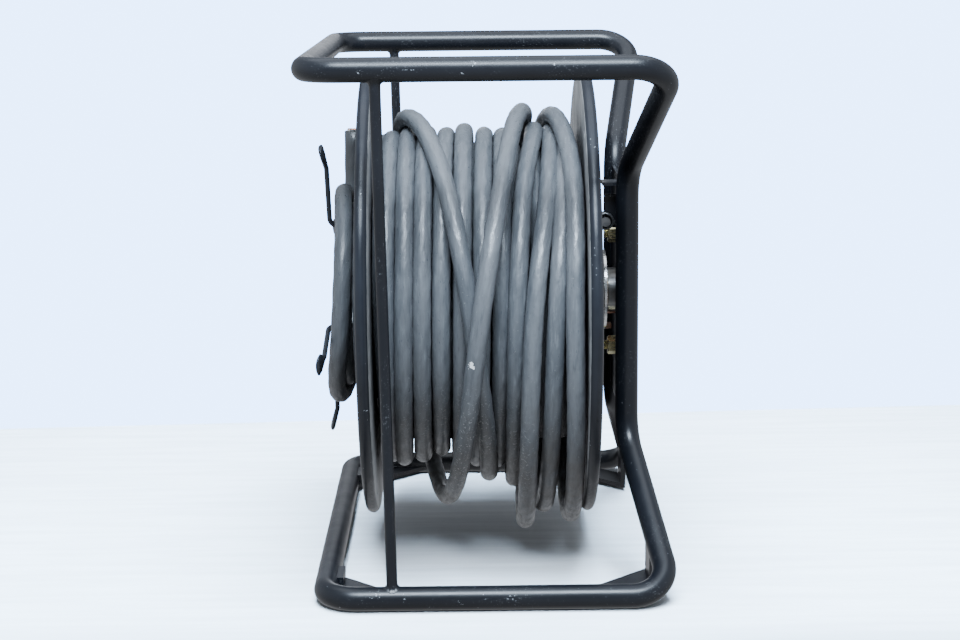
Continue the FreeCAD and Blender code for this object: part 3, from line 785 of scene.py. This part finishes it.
def metal(name, dark, light, roughness):
    """Plated or machined metal: a brushed grain, slight tarnish and fine scratches."""
    f = Finish(name, metallic=1.0)
    tarnish = f.noise(70, 4, 0.6)
    colour = f.mixed(f.rescale(tarnish, 0.38, 0.78, 0.0, 0.7), light, dark)
    lines = f.noise(3, 3, 0.6, f.stretched(f.place, (30, 400, 400)))
    rough = f.rescale(lines, 0.3, 0.7, roughness - 0.07, roughness + 0.12)
    f.bump(lines, 0.01 * MM, 0.4)
    return f.paint(colour, rough)


def rubber(name):
    """Dull black rubber, a little dusty."""
    f = Finish(name)
    colour = f.mixed(f.rescale(f.noise(80, 4, 0.6), 0.35, 0.7),
                     (0.018, 0.018, 0.019), (0.045, 0.044, 0.043))
    f.bump(f.noise(700, 3, 0.6), 0.1 * MM, 0.6)
    return f.paint(colour, f.rescale(f.noise(120, 3, 0.6), 0.3, 0.7, 0.5, 0.7))


# The loose turn that hangs lowest at the front is speckled, and the cable over it has a chip.
SPECKLED_PLACE = (-0.030, -0.190, 0.110)
CHIP_PLACE = (-0.0145, -0.2045, 0.2185)


def sheath_finish():
    """Grey rubber sheath: tone that drifts along the cable, dry rubs, dust that gathers low, and painted shade on
    the lead's upper outer turns.
    """
    f = Finish("sheath")
    sleeve = f.add("ShaderNodeAttribute", attribute_name="sleeve").outputs["Vector"]

    def along(scale_round, scale_along, detail, rough):
        """Noise that follows the sheath, with its own scale round it and along it."""
        return f.noise(1.0, detail, rough,
                       f.stretched(sleeve, (scale_round, scale_round, scale_along)))

    drift = along(0.35, 5.0, 3, 0.6)
    rubs = along(2.6, 45.0, 4, 0.65)
    colour = f.mixed(f.rescale(drift, 0.30, 0.70), (0.066, 0.073, 0.081), (0.106, 0.113, 0.121))
    colour = f.mixed(f.times(f.rescale(rubs, 0.50, 0.72), 0.5), colour, (0.150, 0.163, 0.174))
    colour = f.mixed(f.times(f.rescale(rubs, 0.47, 0.28), 0.5), colour, (0.038, 0.043, 0.049))
    height = f.axis("Z")
    dirt = f.times(f.rescale(height, 0.235, 0.035), f.rescale(f.noise(30, 4, 0.65), 0.30, 0.62))
    colour = f.mixed(f.times(dirt, 0.72), colour, (0.092, 0.083, 0.072))
    # Painted shade: the lead's outer turns and tail above the axle are darkened, beneath the upper hook.
    painted_hook_shade = f.times(f.rescale(height, 0.340, 0.372), f.rescale(f.axis("X"), -0.118, -0.122))
    colour = f.mixed(f.times(painted_hook_shade, 0.6), colour, (0.034, 0.032, 0.030))
    grains = f.noise(520, 2, 0.5)
    specks = f.times(f.rescale(grains, 0.67, 0.72),
                     f.rescale(f.noise(13, 3, 0.6), 0.48, 0.68, 0.0, 0.7))
    speckled = f.near(SPECKLED_PLACE, 0.045, 0.105)
    specks = f.larger(specks, f.times(f.rescale(grains, 0.60, 0.67), speckled))
    colour = f.mixed(f.times(specks, 0.6), colour, (0.36, 0.37, 0.37))
    chip = f.plus(f.times(f.noise(330, 2, 0.5), 1.8), f.near(CHIP_PLACE, 0.001, 0.0075))
    colour = f.mixed(f.rescale(chip, 1.55, 1.60), colour, (0.80, 0.82, 0.82))
    rough = f.plus(f.rescale(along(3, 90, 3, 0.6), 0.32, 0.68, 0.27, 0.45), f.times(dirt, 0.18))
    creases = f.times(along(1.7, 85, 2, 0.5), 1.6)
    pores = f.plus(f.times(along(6, 230, 2, 0.5), 0.17), f.times(f.noise(900, 1, 0.5), 0.03))
    f.bump(f.plus(f.plus(creases, pores), f.times(specks, 0.1)), 0.6 * MM, 0.7)
    return f.paint(colour, rough)


def core_finish():
    """The insulation of the cut cores, pale on some and black on others."""
    f = Finish("core_insulation")
    shade = f.rescale(f.noise(150, 2, 0.5), 0.42, 0.58)
    colour = f.mixed(shade, (0.62, 0.58, 0.50), (0.10, 0.10, 0.10))
    return f.paint(colour, 0.5)


# Each rub on the paint is a place, a size, how much longer it is than wide, and how bare it is.
FRAME_SCUFFS = [
    ((-0.0780, -0.2555, 0.0150), 0.009, 1, 0.12), ((-0.1040, -0.2545, 0.0180), 0.013, 1, 0.13),
    ((-0.0270, -0.2555, 0.0110), 0.006, 1, 0.14), ((0.0200, -0.2555, 0.0135), 0.010, 1, 0.13),
    ((-0.0100, -0.2550, 0.4975), 0.006, 1, 0.22), ((-0.0195, -0.2555, 0.4890), 0.004, 1, 0.22),
    ((-0.0660, -0.2555, 0.4925), 0.0012, 14, 0.30), ((-0.1080, -0.2555, 0.4900), 0.006, 1, 0.20),
    ((0.0600, -0.2550, 0.4960), 0.006, 1, 0.16), ((0.0250, -0.2555, 0.4880), 0.0010, 9, 0.30),
]

finishes = {
    "frame_black": painted("frame_paint", (0.0048, 0.0058, 0.0084), (0.0082, 0.0095, 0.0128),
                           FRAME_SCUFFS),
    "flange_black": flange_finish(),
    "hook_steel": painted("hook_paint", (0.011, 0.013, 0.017), (0.019, 0.022, 0.027)),
    "bare_steel": metal("bare_steel", (0.22, 0.21, 0.20), (0.45, 0.45, 0.44), 0.35),
    "yellow_zinc": metal("yellow_zinc", (0.42, 0.33, 0.12), (0.80, 0.74, 0.46), 0.26),
    "bright_zinc": metal("bright_zinc", (0.45, 0.46, 0.46), (0.80, 0.81, 0.80), 0.24),
    "spring_steel": metal("spring_steel", (0.10, 0.10, 0.105), (0.26, 0.265, 0.27), 0.38),
    "copper": metal("copper", (0.42, 0.18, 0.11), (0.86, 0.50, 0.36), 0.30),
    "terminal_brass": metal("terminal_brass", (0.24, 0.13, 0.09), (0.52, 0.32, 0.22), 0.42),
    "bush_bronze": metal("bush_bronze", (0.30, 0.19, 0.09), (0.58, 0.42, 0.23), 0.36),
    "pad_rubber": rubber("black_rubber"),
    "cable_sheath": sheath_finish(),
}
insulation = core_finish()


def dress():
    """Gives every shown piece and node the finish of its slot."""
    slot_of = {part["node"]: part["material_slot"] for part in frame["record"]["subparts"]}
    for name, node in nodes.items():
        node.data.materials.clear()
        slot = "spring_steel" if name == "brake_pin" else slot_of[name]
        node.data.materials.append(finishes[slot])
    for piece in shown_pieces():
        if piece.name not in nodes:
            ends = piece.name.endswith("_cores")
            piece.data.materials.append(insulation if ends else finishes[piece["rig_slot"]])


dress()


# ---- studio -------------------------------------------------------------------------------
FLOOR_CORNERS = [(-2, -1.5, 0), (2, -1.5, 0), (2, 0.63, 0), (-2, 0.39, 0)]
BACKDROP_COLOUR = (0.52, 0.87, 1.56, 1)
BACKDROP_STRENGTH = 5.8
# The room that lights the reel, as steps laid one over another. Each runs along an axis, between
# two values, from one colour to another, and None keeps what the steps before it made.
ROOM_STEPS = (
    ("Y", -0.3, 0.9, (0.36, 0.39, 0.435, 1), (0.46, 0.50, 0.56, 1)),  # from the front to the back
    ("Y", 0.975, 0.998, None, (3.6, 3.8, 4.1, 1)),  # a bright patch straight behind
    ("Z", 0.08, 0.22, None, (0.40, 0.43, 0.48, 1)),  # cut off above
    ("X", -0.02, 0.12, None, (0.38, 0.41, 0.46, 1)),  # and cut off on the right
    ("X", 0.35, 0.95, None, (0.82, 0.87, 0.94, 1)),  # the right side
    ("X", -0.45, -0.95, None, (0.80, 0.86, 0.94, 1)),  # the left side
    ("Z", -0.15, 0.05, (0.70, 0.73, 0.78, 1), None),  # below the horizon
)


def make_floor():
    """A pale painted board under the reel: it ends just behind, and painted shade makes it darker at the front."""
    mesh = bpy.data.meshes.new("floor")
    mesh.from_pydata(FLOOR_CORNERS, [], [(0, 1, 2, 3)])
    floor = bpy.data.objects.new("floor", mesh)
    bpy.context.scene.collection.objects.link(floor)
    f = Finish("floor", roughness=0.6)
    grain = f.noise(1.0, 4, 0.6, f.stretched(f.place, (5, 60, 1)))
    tone = f.mixed(f.rescale(grain, 0.3, 0.7), (0.395, 0.415, 0.432), (0.475, 0.495, 0.512))
    # Painted shade: the board darkens towards its front edge.
    tone = f.mixed(f.rescale(f.axis("Y"), -0.25, -0.40, 0.0, 1.0), tone, (0.22, 0.24, 0.255))
    mesh.materials.append(f.paint(tone))
    floor.visible_diffuse = False
    floor.visible_glossy = False
    return floor


def make_light(name, place, aim, size, power, colour, only=None):
    """A soft box; with only, it lights that object alone."""
    data = bpy.data.lights.new(name, "AREA")
    data.shape = "RECTANGLE"
    data.size, data.size_y = size
    data.energy = power
    data.color = colour
    light = bpy.data.objects.new(name, data)
    turn = (Vector(aim) - Vector(place)).to_track_quat("-Z", "Y").to_matrix().to_4x4()
    light.matrix_world = Matrix.Translation(place) @ turn
    bpy.context.scene.collection.objects.link(light)
    if only:
        group = bpy.data.collections.new(name)
        group.objects.link(only)
        light.light_linking.receiver_collection = group


def make_surroundings():
    """A bright pale backdrop that only shows; the reel itself is lit by a dimmer room."""
    world = bpy.data.worlds.new("studio")
    world.use_nodes = True
    tree = world.node_tree
    backdrop = tree.nodes["Background"]
    backdrop.inputs["Color"].default_value = BACKDROP_COLOUR
    backdrop.inputs["Strength"].default_value = BACKDROP_STRENGTH
    room = tree.nodes.new("ShaderNodeBackground")
    place = tree.nodes.new("ShaderNodeTexCoord")
    split = tree.nodes.new("ShaderNodeSeparateXYZ")
    tree.links.new(place.outputs["Generated"], split.inputs[0])
    previous = None
    for axis, low, high, dim, bright in ROOM_STEPS:
        step = tree.nodes.new("ShaderNodeMapRange")
        step.interpolation_type = "SMOOTHSTEP"
        step.inputs["From Min"].default_value = low
        step.inputs["From Max"].default_value = high
        tree.links.new(split.outputs[axis], step.inputs["Value"])
        mix = tree.nodes.new("ShaderNodeMix")
        mix.data_type = "RGBA"
        tree.links.new(step.outputs["Result"], mix.inputs["Factor"])
        for socket, colour in ((mix.inputs["A"], dim), (mix.inputs["B"], bright)):
            if colour:
                socket.default_value = colour
            else:
                tree.links.new(previous, socket)
        previous = mix.outputs["Result"]
    tree.links.new(previous, room.inputs["Color"])
    seen = tree.nodes.new("ShaderNodeLightPath")
    choose = tree.nodes.new("ShaderNodeMixShader")
    tree.links.new(seen.outputs["Is Camera Ray"], choose.inputs["Fac"])
    tree.links.new(room.outputs[0], choose.inputs[1])
    tree.links.new(backdrop.outputs[0], choose.inputs[2])
    tree.links.new(choose.outputs[0], tree.nodes["World Output"].inputs["Surface"])
    bpy.context.scene.world = world


floor_board = make_floor()
make_surroundings()
make_light("window", (0, -1.30, 2.0), (0, -0.1, 0.3), (1.3, 0.65), 146, (0.82, 0.97, 1.14))
make_light("ceiling", (0, 0.3, 2.2), (0, 0.1, 0), (2.5, 2.0), 30, (0.92, 0.98, 1.06))
make_light("floor_wash", (0, -0.1, 1.9), (0, -0.1, 0), (1.3, 1.3), 520, (0.73, 0.99, 1.29),
           floor_board)
